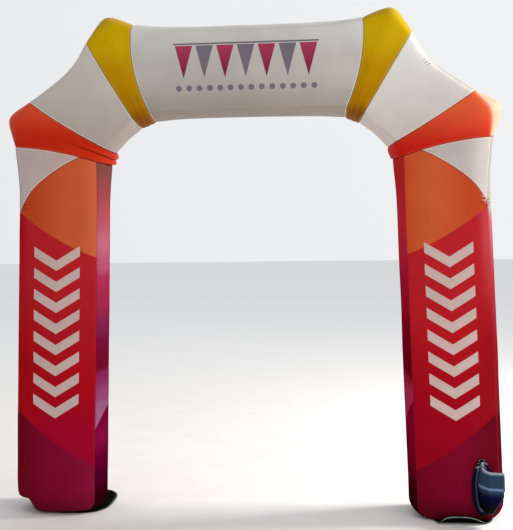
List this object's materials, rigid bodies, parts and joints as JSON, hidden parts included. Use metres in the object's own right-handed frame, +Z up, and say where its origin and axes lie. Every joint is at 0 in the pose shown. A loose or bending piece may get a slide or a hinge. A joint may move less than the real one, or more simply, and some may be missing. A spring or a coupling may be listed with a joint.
{
  "type": "inflatable arch",
  "caption": "Walk-through inflatable arch with upright legs, mitred elbows, slanted corners and a level beam, sewn from cloth panels, on ground pads, with an air sleeve at one foot.",
  "frame": {"origin": "middle of the whole object's box, on the floor", "axes": "+Z up, X across the archway, the front towards -Y; the middle plane of the arch is at y = -0.030 m"},
  "size_m": [4.0012, 1.0504, 4.0481],
  "materials": {
    "white_cloth": "white coated cloth, soft sheen, pleated at the seams",
    "red_cloth": "printed coated cloth that runs from orange through red to plum",
    "orange_cloth": "orange-red coated cloth, soft sheen",
    "yellow_cloth": "yellow coated cloth, soft sheen",
    "navy_cloth": "navy coated cloth, stitched hems",
    "black_cloth": "heavy black coated cloth"
  },
  "bodies": {
    "root": {"beam_back": "white_cloth", "beam_front": "white_cloth", "beam_inner": "white_cloth", "beam_outer": "white_cloth", "leg_left_back": "red_cloth", "leg_left_corner_back": "white_cloth", "leg_left_corner_front": "white_cloth", "leg_left_front": "red_cloth", "leg_left_inner": "red_cloth", "leg_left_outer": "red_cloth", "leg_right_back": "red_cloth", "leg_right_corner_back": "white_cloth", "leg_right_corner_front": "white_cloth", "leg_right_front": "red_cloth", "leg_right_inner": "red_cloth", "leg_right_outer": "red_cloth", "lower_elbow_left_back": "orange_cloth", "lower_elbow_left_front": "orange_cloth", "lower_elbow_left_inner": "orange_cloth", "lower_elbow_left_outer": "orange_cloth", "lower_elbow_right_back": "orange_cloth", "lower_elbow_right_front": "orange_cloth", "lower_elbow_right_inner": "orange_cloth", "lower_elbow_right_outer": "orange_cloth", "pad_left": "black_cloth", "pad_right": "black_cloth", "slant_left_back": "white_cloth", "slant_left_front": "white_cloth", "slant_left_inner": "white_cloth", "slant_left_outer": "white_cloth", "slant_right_back": "white_cloth", "slant_right_front": "white_cloth", "slant_right_inner": "white_cloth", "slant_right_outer": "white_cloth", "sleeve": "navy_cloth", "sleeve_collar": "navy_cloth", "upper_elbow_left_back": "yellow_cloth", "upper_elbow_left_front": "yellow_cloth", "upper_elbow_left_inner": "yellow_cloth", "upper_elbow_left_outer": "yellow_cloth", "upper_elbow_right_back": "yellow_cloth", "upper_elbow_right_front": "yellow_cloth", "upper_elbow_right_inner": "yellow_cloth", "upper_elbow_right_outer": "yellow_cloth"}
  },
  "joints": []
}
